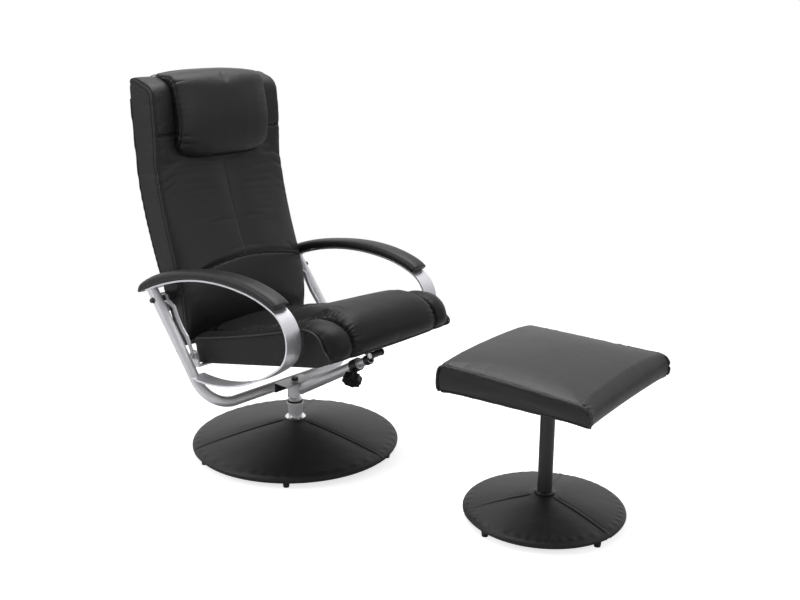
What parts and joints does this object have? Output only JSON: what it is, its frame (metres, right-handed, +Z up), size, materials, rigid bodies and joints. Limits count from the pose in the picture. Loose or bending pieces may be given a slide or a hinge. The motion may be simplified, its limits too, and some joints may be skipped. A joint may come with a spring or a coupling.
{
  "type": "recliner chair with footstool",
  "caption": "Swivelling recliner with padded seat, tall back with head pillow, looped metal arms on a round base, and a matching square-topped footstool on its own round base.",
  "frame": {"origin": "on the floor, on the chair's swivel axis", "axes": "+Z up; the sitter faces -Y, where the footstool stands; +X is the sitter's left"},
  "size_m": [0.5986, 1.3395, 1.013],
  "materials": {
    "faux_leather": "smooth black faux leather with a low sheen",
    "silver_steel": "satin silver powder coat on steel tube and plate",
    "aluminium_band": "satin silver flat band",
    "chrome_steel": "polished chrome plate",
    "black_plastic": "moulded black plastic",
    "black_steel": "black powder coat, semi-gloss",
    "zinc_steel": "bright zinc-plated fasteners",
    "plywood": "plain plywood board",
    "grey_rubber": "grey rubber stop"
  },
  "bodies": {
    "base": {"base_cover": "faux_leather", "base_plate": "black_steel", "base_glides": "black_plastic", "column_tube": "chrome_steel", "column_flange": "chrome_steel", "column_bearing": "black_plastic"},
    "frame": {"swivel_spindle": "silver_steel", "spindle_circlip": "zinc_steel", "swivel_channel": "silver_steel", "swivel_washer": "zinc_steel", "swivel_bolt": "zinc_steel", "side_frame_tube": "silver_steel", "frame_stops": "grey_rubber", "rail_tube": "silver_steel", "rail_clamp": "silver_steel", "arm_band_right": "aluminium_band", "arm_band_left": "aluminium_band", "arm_pad_right": "faux_leather", "arm_pad_left": "faux_leather", "arm_pad_screws_right": "zinc_steel", "arm_pad_screws_left": "zinc_steel", "pivot_bolt_right": "black_steel", "pivot_bolt_left": "black_steel", "pivot_spacer_right": "black_plastic", "pivot_spacer_left": "black_plastic", "pivot_nut_right": "zinc_steel", "pivot_nut_left": "zinc_steel"},
    "back": {"back_shell": "faux_leather", "back_cushion": "faux_leather", "head_pillow": "faux_leather", "back_link_right": "silver_steel", "back_link_left": "silver_steel", "back_screws": "zinc_steel"},
    "carriage": {"slide_tube": "silver_steel", "slide_collar": "black_plastic", "slide_tongue": "silver_steel"},
    "seat": {"seat_board": "plywood", "seat_cushion": "faux_leather", "seat_cross_strap": "silver_steel", "seat_front_bracket": "silver_steel", "seat_hinge_pin": "zinc_steel", "seat_screws": "zinc_steel", "seat_rear_pin_right": "zinc_steel", "seat_rear_pin_left": "zinc_steel"},
    "knob": {"clamp_stud": "zinc_steel", "clamp_knob": "black_plastic"},
    "footstool": {"stool_cover": "faux_leather", "stool_plate": "black_steel", "stool_glides": "black_plastic", "stool_post": "black_steel", "stool_collar": "black_plastic", "stool_flange": "black_steel", "stool_board": "plywood", "stool_screws": "zinc_steel", "stool_cushion": "faux_leather"}
  },
  "joints": [
    {"name": "swivel", "type": "hinge", "parent": "base", "child": "frame", "pos_m": [0, 0, 0.13], "axis": [0, 0, 1], "continuous": true},
    {"name": "back_recline", "type": "hinge", "parent": "frame", "child": "back", "pos_m": [0, 0.23744, 0.428], "axis": [-1, 0, 0], "range_deg": [0, 18]},
    {"name": "seat_slide", "type": "slide", "parent": "frame", "child": "carriage", "axis": [0, -0.8704, 0.4924], "range_m": [0, 0.045]},
    {"name": "seat_pitch", "type": "hinge", "parent": "carriage", "child": "seat", "pos_m": [0, -0.29934, 0.33284], "axis": [1, 0, 0], "range_deg": [0, 2.32]},
    {"name": "knob_turn", "type": "hinge", "parent": "frame", "child": "knob", "pos_m": [-0.02687, -0.24328, 0.26336], "axis": [-0.7071, -0.3482, -0.6154], "range_deg": [0, 270]},
    {"name": "footstool_slide", "type": "slide", "parent": "base", "child": "footstool", "axis": [0, -1, 0], "range_m": [-0.04, 0.45]}
  ],
  "couplings": [
    {"joint": "seat_slide", "follows": "back_recline", "m_per_rad": 0.14308},
    {"joint": "seat_pitch", "follows": "back_recline", "ratio": 0.12793}
  ]
}
